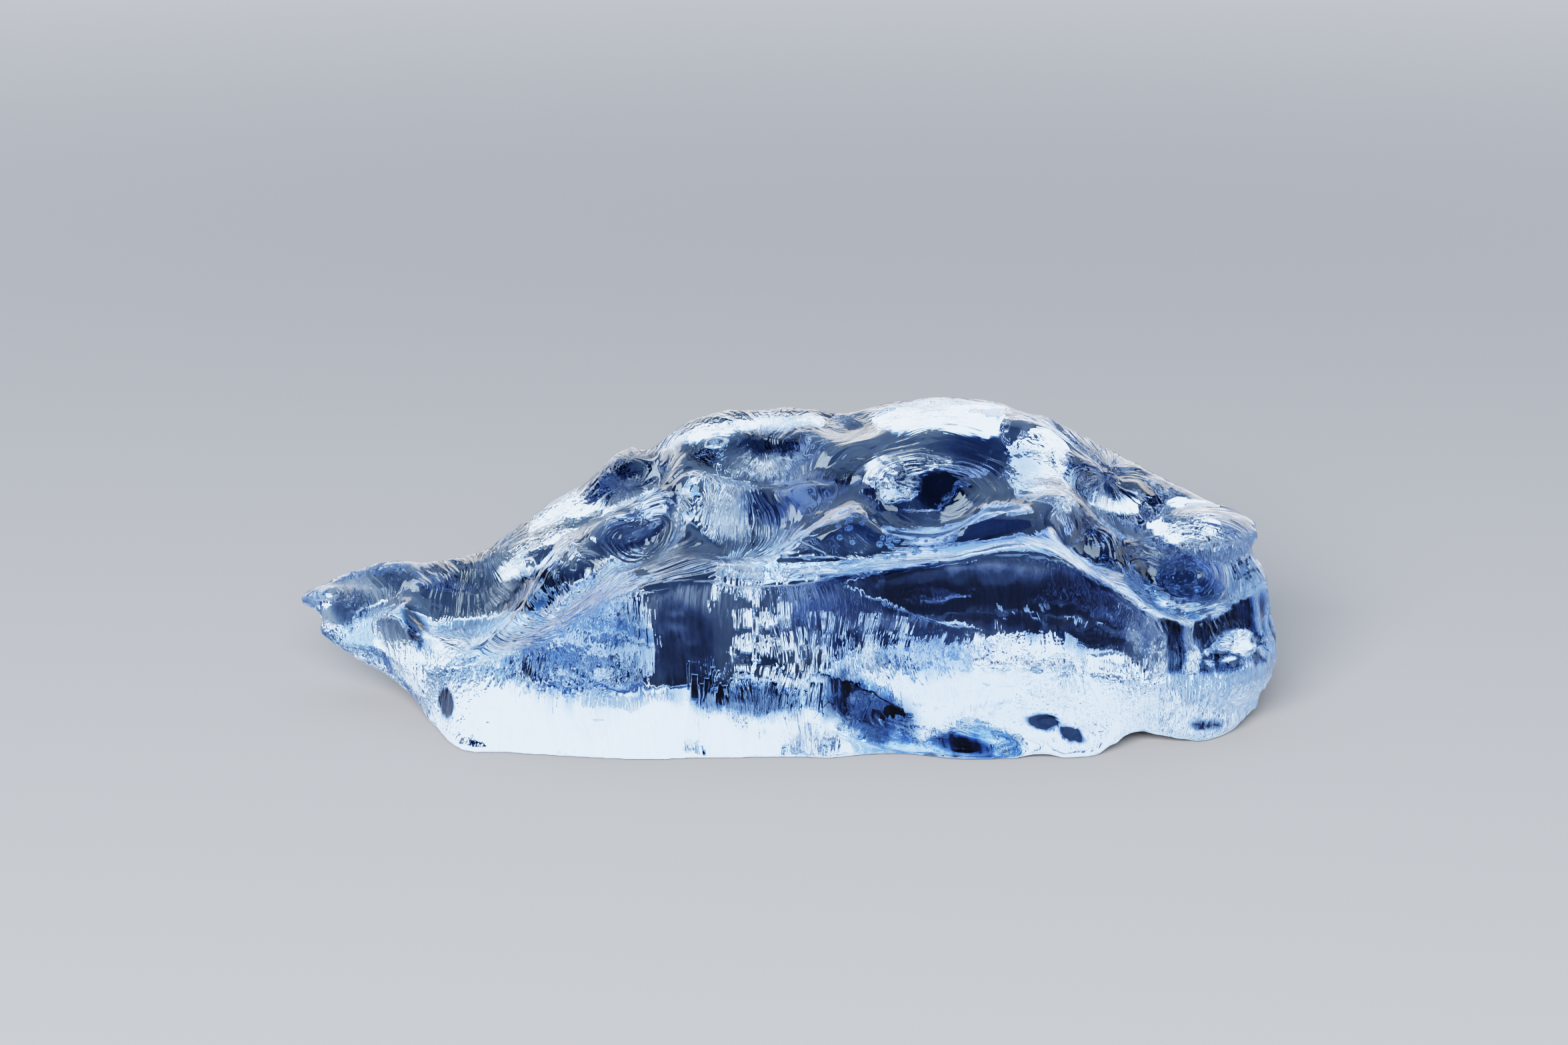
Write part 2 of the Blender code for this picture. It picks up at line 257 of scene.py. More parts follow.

# Painted shade: the dark places of the ice, painted as a deeper tint of its skin: centre, half sizes, turn in
# degrees, strength.
PAINTED_SHADE_PLACES = {
    "left_hollow": ((-32, 0, 40), (8, 9, 4.5), 25, 0.42),
    "groove": ((-3, 1, 48), (8, 7, 3.2), 0, 0.55),
    "left_of_fan": ((-21, -10, 42), (4, 7, 5), 50, 0.55),
    "oval": ((-3, -15, 40), (6, 6, 3.6), 0, 0.6),
    "under_fan": ((-15, -24, 35), (11, 10, 4), 15, 0.12),
    "eye": ((29, -14, 42.5), (7, 8, 4), 20, 0.85),
    "flank": ((38, -9, 45), (11, 12, 6), -20, 0.5),
    "notch": ((13, 7, 49), (3.5, 7, 3), 0, 0.6),
    "saddle": ((8, -20, 40), (18, 18, 7.5), -10, 0.5),
    "shelf": ((32, -28, 38), (28, 12, 5), -4, 0.36),
    "shelf_left": ((6, -36, 33.5), (13, 8, 4), 0, 0.12),
    "facet_left": ((54, -7, 42), (5, 8, 4.5), -60, 0.7),
    "facet_right": ((62, -3, 41), (6, 8, 4), -25, 0.6),
    "bowl": ((57, -20, 35), (10, 11, 5), -20, 0.6),
    "basin": ((72, -20, 27), (11, 10, 4.5), -10, 0.55),
    "middle_left": ((-27, -16, 35), (9, 9, 4.5), 20, 0.5),
    "band": ((-42, -18, 24.5), (13, 12, 4.2), 22, 0.62),
    "veil": ((-36, -38, 19.5), (18, 14, 14), 0, 0.5),
    "neck": ((-62, -9, 20.5), (14, 10, 5.0), 0, 0.08),
    "beak": ((-80, -9, 19.0), (4.8, 6, 5.0), 0, 0.65),
    "jaw_crease": ((-68, -17, 17.8), (7, 12, 1.8), -48, 1.0),
    "dark_window": ((-17.5, -40, 19.5), (6.5, 9, 12), 15, 0.62),
    "window_foot": ((-7, -42, 11), (15, 9, 4.0), -4, 0.84),
    "pane": ((36, -40, 29), (32, 9, 7.8), -4, 0.8),
    "pane_left": ((9, -40, 24), (12, 9, 7), -10, 0.5),
    "arch": ((14.5, -43, 8.5), (12.5, 9, 6.5), -28, 0.92),
    "small_arch": ((31, -43, 2.7), (7.5, 9, 2.9), -12, 1.0),
    "right_pane": ((54, -39, 22), (8, 8, 4.5), -10, 0.75),
    "foot_pit": ((45, -43, 7), (3.6, 6, 2.0), -10, 1.6),
    "foot_pit_right": ((50.5, -42, 4.5), (3.0, 6, 1.6), -25, 1.6),
    "left_pit": ((-61, -29, 6.5), (2.2, 6, 2.8), 0, 1.5),
    "end_crack": ((75, -32, 3.2), (4.5, 7, 1.3), -10, 1.0),
    "eye_right": ((38, -15, 42), (8.5, 9, 4.5), -10, 0.6),
    "ridge_right": ((62, -25, 28), (10, 11, 5.5), -35, 0.8),
    "pane_top_left": ((12, -40, 32), (9, 6, 3), 10, 0.6),
    "v_line": ((-43, -16, 24.5), (12, 14, 4.5), 20, 0.9),
    "veil_right": ((-27, -39, 19), (6, 10, 12), 0, 0.66),
    "comb": ((25, -41, 20), (13, 8, 6), 0, 0.42),
}

# Milky places with a faint rime: centre, half sizes, turn in degrees, strength.
MILKY_PLACES = {
    "flank": ((-60, -24, 9), (22, 20, 9), -25, 1.0),
    "jaw": ((-80, -9, 13), (8, 8, 4), -20, 1.0),
    "veil": ((-36, -40, 19), (14, 9, 12), 0, 0.6),
    "left_slope": ((-44, -2, 33), (14, 12, 6), 40, 0.8),
    "crest": ((0, 8, 51), (70, 9, 4), 0, 0.5),
    "facet": ((45, -8, 46), (6, 14, 8), -60, 0.6),
    "cloud": ((42, -41, 18), (12, 9, 6), 0, 1.0),
    "right_foot": ((55, -40, 8), (24, 12, 7), 0, 0.6),
    "patch": ((73, -11, 34), (8, 8, 5), -10, 0.6),
}

# Pebbled places on the lit flank of the eye-shaped hollow: centre, half sizes, turn in degrees, share.
PEBBLED_PLACES = {
    "lit_flank": ((19, -16, 43.5), (8, 9, 5), 25, 1.0),
    "below_it": ((15, -24, 40.5), (6, 7, 4), -40, 0.7),
}
PEBBLE_PERIOD = 1.6
PEBBLE_HEIGHT = 0.45

# Small deep pits low on the front: centre, half sizes, turn in degrees, depth.
PITS = {
    "foot_pit": ((46.5, -43, 6.5), (2.8, 6, 1.8), -20, 1.5),
    "foot_pit_right": ((52.5, -42, 4.5), (2.2, 6, 1.6), -35, 1.3),
    "left_pit": ((-62.5, -20, 8.5), (1.8, 6, 2.2), 0, 1.3),
}

# Cracks inside the ice, as thin wavy gaps: middle, half length along X, half depth along Y, how far they
# climb per millimetre along X and Y, the share of them that is lace, and the share that is combed away so
# that only upright streaks are left. The place of a row in the table sets its seed.
CRACKS = {
    "flank_left": ((-69, -8, 9.5), 6, 10, -0.40, 0.05, 0.05, 0),
    "flank": ((-55, -9, 9.5), 12, 9, -0.05, 0.10, 0.05, 0),
    "jaw": ((-80, 0, 12.5), 7, 7, -0.10, 0.25, 0.05, 0),
    "slope_low": ((-44, -1, 23.5), 8, 7, 0.20, 0.00, 0.10, 0),
    "slope_high": ((-40, 10, 29), 7, 7, 0.30, 0.00, 0.10, 0),
    "ridge": ((-26, 5, 31), 8, 5, 0.30, 0.00, 0.15, 0),
    "crest_left": ((-16, 15, 42), 8, 6, 0.20, 0.00, 0.10, 0),
    "fan": ((-12.5, -5, 33), 5.5, 12, 0.05, 0.12, 0.10, 0.3),
    "groove_line": ((0.5, 6, 42.3), 5, 1.2, 0.02, 0.00, 0.00, 0),
    "veil": ((-35.2, -15, 12.8), 10.8, 21, 0.03, 0.12, 0.05, 0),
    "waterfall_knot": ((-8.5, -33.5, 30.2), 3.2, 4.4, 0.10, 0.00, 0.20, 0.3),
    "crest_right": ((30, 17, 44), 12, 9, 0.05, 0.00, 0.05, 0),
    "facet": ((46, 2, 38), 4.5, 20, -0.10, 0.00, 0.05, 0),
    "facet_foot": ((57, 2, 34), 9, 6, -0.05, 0.00, 0.10, 0),
    "crescent": ((20, -2, 38), 4.8, 10, 0.10, 0.00, 0.15, 0),
    "fleck": ((30, -10, 38.7), 1.2, 2.6, 0.40, 0.00, 0.00, 0),
    "spur_line": ((1, -27, 30.8), 9, 1.3, 0.02, 0.00, 0.00, 0),
    "spur": ((14, -20, 26), 13, 1.9, -0.45, 0.05, 0.05, 0),
    "spur_tail": ((27, -20, 20.5), 8, 1.4, -0.35, 0.05, 0.05, 0),
    "pane_veil": ((9, -24, 21), 13, 12, -0.10, 0.12, 0.05, 0.66),
    "pane_veil_low": ((15, -24, 15.5), 14, 11, -0.10, 0.12, 0.05, 0.6),
    "cloud": ((42, -22, 14.5), 9, 16, 0.05, 0.00, 0.15, 0),
    "cloud_tail": ((54, -18, 11.5), 8, 14, -0.10, 0.00, 0.10, 0),
    "glints": ((53, -17, 21), 3.5, 8, -0.20, 0.00, 0.35, 0.4),
    "patch": ((73, -2, 29.5), 7, 6, -0.10, 0.00, 0.10, 0),
    "end": ((74, -14, 11), 9, 9, 0.00, 0.05, 0.20, 0),
    "crest_middle": ((-2, 14, 45.5), 9, 5, 0.05, 0.00, 0.10, 0),
    "beak_tip": ((-86, -3, 17.3), 3, 3, 0.10, 0.00, 0.00, 0),
    "window_shade": ((-5.2, -28, 9.4), 12.2, 9, -0.08, -0.58, 0.00, 0.03),
    "arch_shade": ((14, -31, 7.5), 9, 8, -0.50, -0.60, 0.00, 0),
    "arch_vein": ((10.5, -39.3, 10), 3.4, 1.0, -1.60, 0.00, 0.00, 0),
    "arch_vein_right": ((17, -39.3, 8.0), 4.0, 1.0, -1.00, 0.00, 0.00, 0),
    "arch_vein_cross": ((13.5, -39.3, 7.0), 1.5, 1.2, 2.20, 0.00, 0.00, 0),
    "arch_vein_left": ((7.5, -39.3, 9.6), 2.6, 1.2, 1.10, 0.00, 0.00, 0),
    "arch_vein_low": ((15, -39.3, 4.0), 2.6, 0.8, -0.50, 0.00, 0.00, 0),
    "arch_vein_steep": ((13, -39.3, 9.5), 1.0, 0.8, -3.20, 0.00, 0.00, 0),
    "waterfall_top": ((-6.5, -29, 27.0), 2.8, 9.2, 0.05, 0.00, 0.00, 0.55),
    "waterfall": ((-6.0, -29, 22.2), 4.8, 9.6, 0.05, 0.00, 0.00, 0.42),
    "waterfall_low": ((-4.0, -29, 17.4), 7.2, 9.6, 0.05, 0.00, 0.00, 0.25),
    "waterfall_foot": ((-2.0, -31, 12.8), 6.5, 7.2, 0.05, 0.00, 0.00, 0.3),
    "lid": ((24, 3, 40), 6, 4.5, 0.12, 0.00, 0.10, 0),
    "patch_high": ((74, 6, 32), 6, 4.5, -0.10, 0.00, 0.10, 0),
    "cloud_top": ((45, -26, 22.6), 7, 7, 0.00, 0.00, 0.20, 0.6),
    "fan_high": ((-6, 6, 40), 8, 7, 0.06, 0.05, 0.25, 0.1),
    "window_streaks": ((-15, -30, 26), 3.5, 8, 0.10, 0.00, 0.10, 0.45),
    "veil_high": ((-33.5, -10, 19.5), 9, 9, 0.05, 0.05, 0.20, 0.1),
}

# How thick a gap is, how deep under the skin it stays, and the cells of its mesh, in a crack and a streak.
CRACK_GAP = 0.08
CRACK_DEPTH_UNDER_SKIN = 0.8
CRACK_CELL = (0.7, 1.2)
STREAK_CELL = (0.25, 1.6)
FEWEST_COLUMNS = 4
FEWEST_ROWS = 3

# How a crack waves, as period and height. A combed one waves less.
BROAD_WAVE = (8, 0.55)
SMALL_WAVE = ((2.5, 5, 3), 0.22)
STREAK_WAVE = 0.3

# Its ragged edge, as period and share, the holes of its lace, and how a share becomes a level of the grain.
FINE_RAGS = ((1.5, 40, 40), 0.4)
BROAD_RAGS = (5, 0.35)
LACE_PERIOD = (1.6, 5, 5)
GRAIN_SPREAD = 1.6

# A combed sheet: how far a streak keeps its line in depth and height, its thin and wide streaks, as period
# and share, and how its ends fray. It is cut into upright strands of uneven width, which end at uneven
# heights. The strands are counted from far left of the ice.
STREAK_ALONG = (0.03, 0.06)
THIN_STREAKS = ((0.8, 1, 1), 0.8)
WIDE_STREAKS = ((3, 1, 1), 0.5)
FRAYED_ENDS = ((0.8, 30, 30), 0.15)
FRAYED_REACH = 0.95
STRANDS = 400
STRAND_START = -100.0
STRAND_WIDTHS = (0.5, 1.4)
STRAND_STAGGER = 2.2

# Air bubbles: their radius, how much ice covers them, how far a swarm spreads, as a share of its half
# sizes, and the height that their places on the skin are looked for from.
BUBBLE_RADII = (0.35, 0.75)
BUBBLE_COVER = (0.15, 0.8)
SWARM_SPREAD = 0.5
PROBE_HEIGHT = 80.0

# Swarms of bubbles just under the skin of the shelf: centre in X and Y, half sizes, and how many.
BUBBLE_SWARMS = {
    "shelf_swarm": ((23, -31), (9, 4), 30),
    "saddle_swarm": ((12, -28), (5, 5), 16),
    "bowl_swarm": ((58, -20), (12, 6), 34),
}


def select_only(piece):
    """Make one piece the active one, with nothing else selected."""
    bpy.ops.object.select_all(action="DESELECT")
    piece.select_set(True)
    bpy.context.view_layer.objects.active = piece


def apply_modifier(piece, kind, name, **settings):
    """Add one modifier, set it and apply it."""
    modifier = piece.modifiers.new(name, kind)
    for key, value in settings.items():
        setattr(modifier, key, value)
    select_only(piece)
    bpy.ops.object.modifier_apply(modifier=name)


def copy_of_block():
    """Return a welded copy of the solid, as the blank that the clear ice is finished from."""
    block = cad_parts[NODE]
    mesh = block.data.copy()
    mesh.transform(block.matrix_world)
    piece = bpy.data.objects.new("clear_ice", mesh)
    bpy.context.scene.collection.objects.link(piece)
    mesh.materials.clear()
    shape = bmesh.new()
    shape.from_mesh(mesh)
    bmesh.ops.remove_doubles(shape, verts=shape.verts, dist=WELD_DISTANCE)
    shape.to_mesh(mesh)
    shape.free()
    return piece


def points_and_normals(piece):
    """Return the mesh's points in millimetres, and their normals, as arrays."""
    count = len(piece.data.vertices)
    points = np.empty(count * 3)
    normals = np.empty(count * 3)
    piece.data.vertices.foreach_get("co", points)
    piece.data.vertex_normals.foreach_get("vector", normals)
    return points.reshape(-1, 3) / MM, normals.reshape(-1, 3)


def set_points(piece, points):
    """Put the mesh's points, in millimetres, where the array says."""
    piece.data.vertices.foreach_set("co", (points * MM).astype(np.float32).ravel())
    piece.data.update()


def ramp(values, low, high):
    """Rise smoothly from 0 at low to 1 at high."""
    t = np.clip((values - low) / (high - low), 0.0, 1.0)
    return t * t * (3.0 - 2.0 * t)


def grain(points, period, seed):
    """Return smooth random grain from -1 to 1 at the points. The period may differ along each axis."""
    places = points / np.array(period, dtype=float)
    corner = np.floor(places).astype(int)
    t = places - corner
    t = t * t * (3.0 - 2.0 * t)
    shuffle = np.random.default_rng(seed).permutation(GRAIN_VALUES)
    half = 0.5 * (GRAIN_VALUES - 1)
    value = np.zeros(len(points))
    for corner_x in (0, 1):
        for corner_y in (0, 1):
            for corner_z in (0, 1):
                spot = corner + (corner_x, corner_y, corner_z)
                mixed = shuffle[spot[:, 2] % GRAIN_VALUES]
                mixed = shuffle[(spot[:, 1] + mixed) % GRAIN_VALUES]
                mixed = shuffle[(spot[:, 0] + mixed) % GRAIN_VALUES]
                share = np.ones(len(points))
                for axis, side in enumerate((corner_x, corner_y, corner_z)):
                    share *= t[:, axis] if side else 1.0 - t[:, axis]
                value += share * (mixed / half - 1.0)
    return value


def inside_share(points, centre, radii, turn):
    """Return 1 at the centre of an oval place and 0 at its rim. The place is turned upright by degrees."""
    offset = points - np.array(centre, dtype=float)
    angle = math.radians(turn)
    along = math.cos(angle) * offset[:, 0] + math.sin(angle) * offset[:, 2]
    across = math.cos(angle) * offset[:, 2] - math.sin(angle) * offset[:, 0]
    away = (along / radii[0]) ** 2 + (offset[:, 1] / radii[1]) ** 2 + (across / radii[2]) ** 2
    return 1.0 - np.sqrt(away)


def patch(points, centre, radii, turn):
    """Return a soft patch: 1 round the centre of an oval place, falling to 0 at its rim."""
    return ramp(inside_share(points, centre, radii, turn), 0.0, PATCH_RIM)


def zones(points, places, uneven=0.0):
    """Return how strongly any of the named soft places covers each point, with uneven edges if wanted."""
    inside = np.zeros(len(points))
    for centre, radii, turn, strength in places.values():
        cover = inside_share(points, centre, radii, turn) + uneven
        inside = np.maximum(inside, strength * ramp(cover, 0.0, ZONE_RIM))
    return inside


def uneven_swell(points, normals):
    """Broad, shallow unevenness, as melting leaves everywhere."""
    back = ramp(normals[:, 1], *BACK_FACING)
    height = np.zeros(len(points))
    for name, (period, front, gain) in (("broad_swell", BROAD_SWELL), ("small_swell", SMALL_SWELL)):
        height += (front + gain * back) * grain(points, period, SEEDS[name])
    period, depth = DIMPLES
    return height + depth * np.abs(grain(points, period, SEEDS["dimples"]))


def flow_on_top(points):
    """Return where each point lies in the grain round its nearest hollow, and how strong the grain is."""
    middles = np.array([middle for middle, _, _ in HOLLOWS.values()], dtype=float)
    ringed = np.array([kind == "rings" for _, kind, _ in HOLLOWS.values()])
    strengths = np.array([strength for _, _, strength in HOLLOWS.values()])
    wander = [WANDER * grain(points, WANDER_PERIOD, seed) for seed in SEEDS["wander"]]
    warped = points + np.column_stack(wander)
    offsets = warped[:, np.newaxis, :] - middles[np.newaxis]
    ranges = np.linalg.norm(offsets * HOLLOW_SHAPE, axis=2)
    order = np.argsort(ranges, axis=1)
    rows = np.arange(len(points))
    nearest = order[:, 0]
    reach = ranges[rows, nearest]
    offset = offsets[rows, nearest]
    turn = np.arctan2(offset[:, 2] - HOLLOW_LEAN * offset[:, 1], offset[:, 0]) * RIBS_PER_RADIAN
    rings = ringed[nearest]
    across = np.where(rings, reach, turn)
    along = np.where(rings, turn, reach) * GRAIN_ALONG
    border = ramp(ranges[rows, order[:, 1]] - reach, *HOLLOW_BORDER)
    middle = ramp(reach, *HOLLOW_MIDDLE)
    return np.column_stack((across, along, nearest * GRAIN_STEP)), strengths[nearest] * border * middle


def flow(points, normals):
    """Return the grain's own coordinates and its strength: upright on the walls, round hollows on top."""
    top_flow, top_strength = flow_on_top(points)
    # 0 on top, 1 on a wall, and half way on the edge between them.
    wall = ramp(WALL_TILT - np.abs(normals[:, 2]), 0.0, WALL_FADE)
    bend = WALL_BEND * grain(points, WALL_BEND_PERIOD, SEEDS["wall_bend"])
    wall_flow = np.column_stack((points[:, 0] + bend, points[:, 1], WALL_ALONG * points[:, 2]))
    on_wall = wall > 0.5
    where = np.where(on_wall[:, np.newaxis], wall_flow, top_flow)
    edge = np.abs(2.0 * wall - 1.0)
    wall_strength = WALL_STRENGTH + RIGHT_END_GAIN * ramp(points[:, 0], *RIGHT_END)
    patchy = PATCHY_BASE + PATCHY_SHARE * grain(points, PATCHY_PERIOD, SEEDS["patchy"])
    calm = 1.0 - WINDOW_CALM * zones(points, WINDOWS)
    strength = np.where(on_wall, wall_strength, top_strength)
    strength = strength * calm * ramp(edge, 0.0, EDGE_FADE) * patchy
    return where, np.clip(strength, 0.0, MOST_STRENGTH)


def grain_relief(where, strength):
    """The coarser part of the grain, as ridges and furrows."""
    ridge_period, ridge_height = RIDGES
    furrow_period, furrow_height = FURROWS
    ridges = 1.0 - 2.0 * np.abs(grain(where, ridge_period, SEEDS["ridges"]))
    furrows = grain(where, furrow_period, SEEDS["furrows"])
    return strength * (ridge_height * ridges + furrow_height * furrows)


def end_ribs(points, normals):
    """Return where the bold upright ribs of the rounded right end are, and how high they stand, 0 to 1."""
    on_end = ramp(points[:, 0], *END_START) * ramp(END_TILT - np.abs(normals[:, 2]), 0.0, END_TILT_FADE)
    on_end *= ramp(points[:, 2], *END_FOOT) * ramp(END_TOP - points[:, 2], 0.0, END_TOP_FADE)
    middle_x, middle_y = END_MIDDLE
    round_end = np.degrees(np.arctan2(points[:, 1] - middle_y, points[:, 0] - middle_x)) / END_RIB_DEGREES
    bend = END_BEND * grain(points, END_BEND_PERIOD, SEEDS["end_bend"])
    streaks = np.column_stack((round_end + bend, END_ALONG * points[:, 2], np.zeros(len(points))))
    return on_end, 1.0 - 2.0 * np.abs(grain(streaks, 1.0, SEEDS["end_ribs"]))


def end_furrow_shade(points, normals):
    """Return the painted shade in the furrows between the ribs of the right end, as how dark they are
    painted.
    """
    on_end, ribs = end_ribs(points, normals)
    furrows = ramp(FURROW_LEVEL - ribs, -FURROW_EDGE, FURROW_EDGE)
    return FURROW_SHADE * ramp(on_end, *FURROW_REACH) * furrows


def pebbles(points):
    """Small rounded pebbles of ice."""
    cover = np.zeros(len(points))
    for centre, radii, turn, share in PEBBLED_PLACES.values():
        cover = np.maximum(cover, share * patch(points, centre, radii, turn))
    return cover * PEBBLE_HEIGHT * np.abs(grain(points, PEBBLE_PERIOD, SEEDS["pebbles"]))


def pits(points):
    """Small deep pits in the bright foot, which painted shade darkens as well."""
    height = np.zeros(len(points))
    for centre, radii, turn, depth in PITS.values():
        height -= depth * patch(points, centre, radii, turn)
    return height


def waves(flat, seed):
    """Return how a sheet waves up and down."""
    broad_period, broad_height = BROAD_WAVE
    small_period, small_height = SMALL_WAVE
    return broad_height * grain(flat, broad_period, seed) + small_height * grain(flat, small_period, seed + 1)


def ragged_edge(flat, seed):
    """Return how far out the ragged edge of a sheet is, round 1."""
    fine_period, fine_share = FINE_RAGS
    broad_period, broad_share = BROAD_RAGS
    fine = 1.0 + fine_share * grain(flat, fine_period, seed + 2)
    return fine + broad_share * grain(flat, broad_period, seed + 3)


def upright_streaks(flat):
    """Return the upright streaks that all the combed sheets share."""
    in_depth, in_height = STREAK_ALONG
    upright = np.column_stack((flat[:, 0], in_depth * flat[:, 1], in_height * flat[:, 2]))
    thin_period, thin_share = THIN_STREAKS
    wide_period, wide_share = WIDE_STREAKS
    thin = thin_share * grain(upright, thin_period, SEEDS["thin_streaks"])
    return thin + wide_share * grain(upright, wide_period, SEEDS["wide_streaks"])


def frayed_ends(flat, v, seed):
    """Return which points lie inside the frayed front and back ends of a combed sheet."""
    period, share = FRAYED_ENDS
    return np.abs(v + share * grain(flat, period, seed + 2)) < FRAYED_REACH


def strands_of(flat):
    """Return the upright strand that each point belongs to, and how far each strand is lifted."""
    luck = np.random.default_rng(SEEDS["strands"])
    borders = np.cumsum(luck.uniform(*STRAND_WIDTHS, STRANDS)) + STRAND_START
    lifts = luck.uniform(-STRAND_STAGGER, STRAND_STAGGER, STRANDS)
    return np.searchsorted(borders, flat[:, 0]), lifts


def drop_points_near_skin(keep, flat, piece):
    """Drop the points of a sheet that are outside the piece or too near its skin."""
    for i in np.flatnonzero(keep):
        place = Vector(flat[i]) * MM
        _, skin, normal, _ = piece.closest_point_on_mesh(place)
        keep[i] = (skin - place).dot(normal) > CRACK_DEPTH_UNDER_SKIN * MM


def cut_sheet(sheet, keep, strand):
    """Cut a sheet down to the points that are kept, and apart between its strands."""
    shape = bmesh.new()
    shape.from_mesh(sheet.data)
    shape.verts.ensure_lookup_table()
    split = [face for face in shape.faces if len({strand[vert.index] for vert in face.verts}) > 1]
    bmesh.ops.delete(shape, geom=split, context="FACES_ONLY")
    bmesh.ops.delete(shape, geom=[shape.verts[i] for i in np.flatnonzero(~keep)], context="VERTS")
    bmesh.ops.delete(shape, geom=[vert for vert in shape.verts if not vert.link_faces], context="VERTS")
    shape.to_mesh(sheet.data)
    shape.free()


def wavy_sheet(name, piece, centre, half_length, half_depth, climb_x, climb_y, lace, combed, seed):
    """Add one crack: a wavy, ragged, lacy or combed sheet inside the piece, thickened to a thin gap."""
    cell_x, cell_y = STREAK_CELL if combed else CRACK_CELL
    columns = max(FEWEST_COLUMNS, round(2 * half_length / cell_x))
    rows = max(FEWEST_ROWS, round(2 * half_depth / cell_y))
    bpy.ops.object.select_all(action="DESELECT")
    bpy.ops.mesh.primitive_grid_add(x_subdivisions=columns, y_subdivisions=rows, size=2.0)
    sheet = bpy.context.object
    sheet.name = name
    points, _ = points_and_normals(sheet)
    # Places on the sheet, from -1 to 1 along and across it.
    u, v = points[:, 0] * MM, points[:, 1] * MM
    flat = np.column_stack((half_length * u, half_depth * v, np.zeros(len(u))))
    flat += centre
    lift = climb_x * half_length * u + climb_y * half_depth * v
    lift += (STREAK_WAVE if combed else 1.0) * waves(flat, seed)
    flat[:, 2] += lift
    solid = grain(flat, LACE_PERIOD, seed + 4) <= 1.0 - GRAIN_SPREAD * lace
    strand = np.zeros(len(u))
    if combed:
        level = GRAIN_SPREAD * combed - 1.0 + GRAIN_SPREAD * combed * v ** 4
        keep = (upright_streaks(flat) > level) & frayed_ends(flat, v, seed) & solid
        strand, lifts = strands_of(flat)
        flat[:, 2] += lifts[strand]
    else:
        keep = (u ** 4 + v ** 4 < ragged_edge(flat, seed)) & solid
    drop_points_near_skin(keep, flat, piece)
    set_points(sheet, flat)
    cut_sheet(sheet, keep, strand)
    apply_modifier(sheet, "SOLIDIFY", "gap", thickness=CRACK_GAP * MM, offset=0.0)
    return sheet


def bubbles(piece):
    """Add the swarms of round air bubbles under the skin."""
    luck = np.random.default_rng(SEEDS["bubbles"])
    found = []
    for middle, halves, count in BUBBLE_SWARMS.values():
        for _ in range(count):
            x, y = np.array(middle) + luck.normal(0.0, SWARM_SPREAD, 2) * halves
            radius = luck.uniform(*BUBBLE_RADII)
            hit, spot, normal, _ = piece.ray_cast(Vector((x, y, PROBE_HEIGHT)) * MM, Vector((0, 0, -1)))
            if not hit:
                continue
            place = spot - normal * (radius + luck.uniform(*BUBBLE_COVER)) * MM
            bpy.ops.object.select_all(action="DESELECT")
            bpy.ops.mesh.primitive_ico_sphere_add(subdivisions=2, radius=radius * MM, location=place)
            found.append(bpy.context.object)
    return found


def turn_into_gaps(hollows, piece):
    """Turn the closed shapes inside out, so that they are gaps, and join them to the ice."""
    for hollow in hollows:
        hollow.data.flip_normals()
    bpy.ops.object.select_all(action="DESELECT")
    for hollow in hollows:
        hollow.select_set(True)
    piece.select_set(True)
    bpy.context.view_layer.objects.active = piece
    bpy.ops.object.join()


def note_on_skin(piece, name, kind, field, values):
    """Keep a value for each point of the skin, for the material to read."""
    note = piece.data.attributes.new(name, kind, "POINT")
    note.data.foreach_set(field, values.astype(np.float32).ravel())


def melted_skin(piece):
    """Melt the solid's facets away, sharp tips less than the rest, and model the relief in the skin."""
    apply_modifier(piece, "REMESH", "skin", mode="VOXEL", voxel_size=SKIN_SPACING)
    sharp, _ = points_and_normals(piece)
    apply_modifier(piece, "SMOOTH", "melt", factor=MELT_FACTOR, iterations=MELT_PASSES)
    melted, normals = points_and_normals(piece)
    points = melted + (sharp - melted) * zones(sharp, TIPS)[:, np.newaxis]
    off_base = ramp(points[:, 2], *BASE_RELIEF)
    where, strength = flow(points, normals)
    on_end, ribs = end_ribs(points, normals)
    height = uneven_swell(points, normals) + grain_relief(where, strength) + END_RIB_HEIGHT * on_end * ribs
    height += pebbles(points) + pits(points)
    set_points(piece, points + normals * (off_base * height)[:, np.newaxis])
    share = SKIN_TRIANGLES / sum(len(face.vertices) - 2 for face in piece.data.polygons)
    apply_modifier(piece, "DECIMATE", "fewer_faces", ratio=min(1.0, share))


def mark_skin(piece):
    """Note on the skin where its grain runs, where shade is painted on it, and where it is milky."""
    points, normals = points_and_normals(piece)
    off_base = ramp(points[:, 2], *BASE_RELIEF)
    where, strength = flow(points, normals)
    blot_period, blot_share = TINT_BLOTS
    streak_period, streak_share = TINT_STREAKS
    uneven = blot_share * grain(points, blot_period, SEEDS["tint_blots"])
    uneven += streak_share * grain(where, streak_period, SEEDS["tint_streaks"])
    # Painted shade: the dark places and the dark furrows of the right end, kept in the note called deep.
    deep = np.maximum(zones(points, PAINTED_SHADE_PLACES, uneven), end_furrow_shade(points, normals))
    milky = zones(points, MILKY_PLACES, uneven) * (1.0 - deep)
    note_on_skin(piece, "flow", "FLOAT_VECTOR", "vector", where)
    note_on_skin(piece, "flow_strength", "FLOAT", "value", strength * off_base)
    note_on_skin(piece, "deep", "FLOAT", "value", deep)
    note_on_skin(piece, "milky", "FLOAT", "value", milky)


def clear_ice():
    """Model the ice itself: the solid's skin, melted smooth, with all its relief, cracks and bubbles."""
    piece = copy_of_block()
    melted_skin(piece)
    mark_skin(piece)
    cracks = []
    for i, (name, row) in enumerate(CRACKS.items()):
        cracks.append(wavy_sheet(name, piece, *row, FIRST_CRACK_SEED + CRACK_SEED_STEP * i))
    turn_into_gaps(cracks + bubbles(piece), piece)
    select_only(piece)
    bpy.ops.object.shade_smooth()
    return piece


